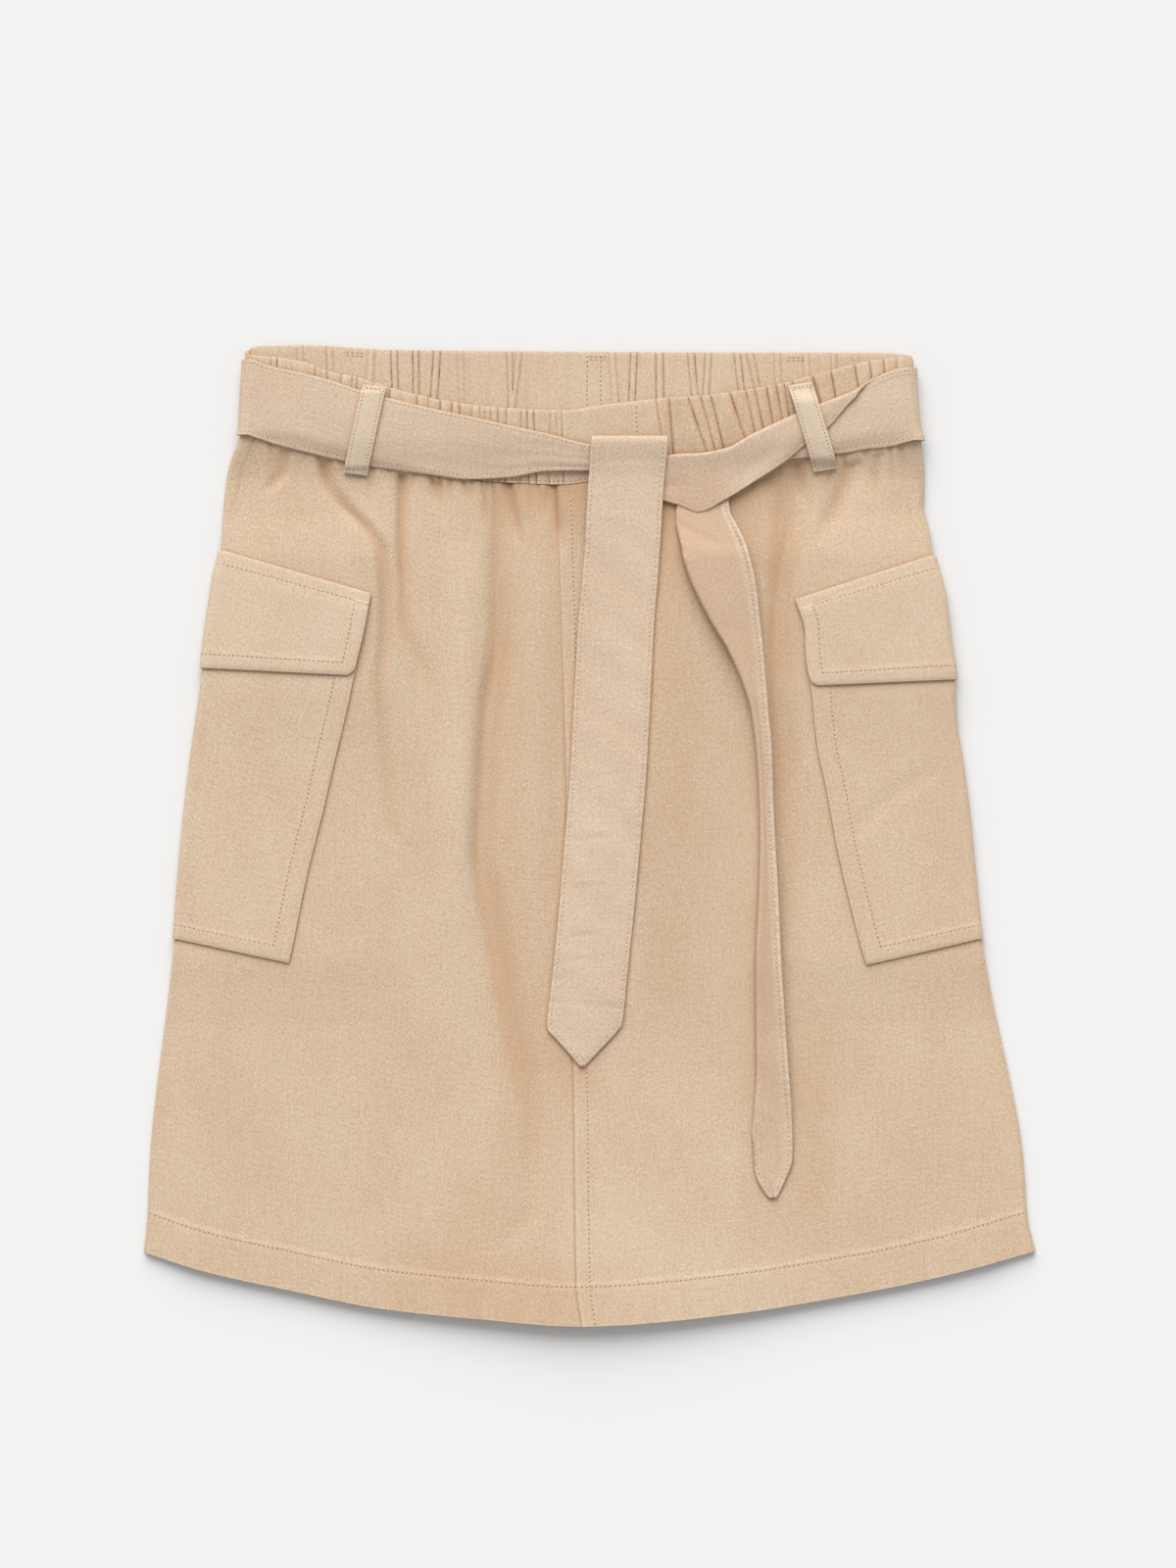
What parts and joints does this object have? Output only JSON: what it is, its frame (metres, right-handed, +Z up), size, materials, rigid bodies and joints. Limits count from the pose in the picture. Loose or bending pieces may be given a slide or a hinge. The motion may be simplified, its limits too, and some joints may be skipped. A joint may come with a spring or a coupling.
{
  "type": "cargo utility skirt",
  "caption": "Mini cargo skirt in beige cotton twill with a gathered elastic waist, side flap pockets and a knotted tie belt, laid flat.",
  "frame": {"origin": "bottom centre of the bounding box, on the surface that the skirt lies on", "axes": "+X towards the wearer's left side as the front faces up, +Y from hem to waist, +Z up out of the front"},
  "size_m": [0.4558, 0.5007, 0.0154],
  "materials": {
    "skirt_twill": "matt beige cotton twill with a steep diagonal line",
    "belt_twill": "matt beige cotton twill, sewn double and pressed"
  },
  "bodies": {
    "root": {"front_left": "skirt_twill", "front_right": "skirt_twill", "back_left": "skirt_twill", "back_right": "skirt_twill", "waistband_front": "skirt_twill", "waistband_back": "skirt_twill", "pocket_left": "skirt_twill", "pocket_right": "skirt_twill", "flap_left": "skirt_twill", "flap_right": "skirt_twill", "loop_front_left": "skirt_twill", "loop_front_right": "skirt_twill", "loop_back_left": "skirt_twill", "loop_back_centre": "skirt_twill", "loop_back_right": "skirt_twill", "belt_left": "belt_twill", "belt_right": "belt_twill", "belt_back": "belt_twill", "tail_front": "belt_twill", "tail_rear": "belt_twill"}
  },
  "joints": []
}
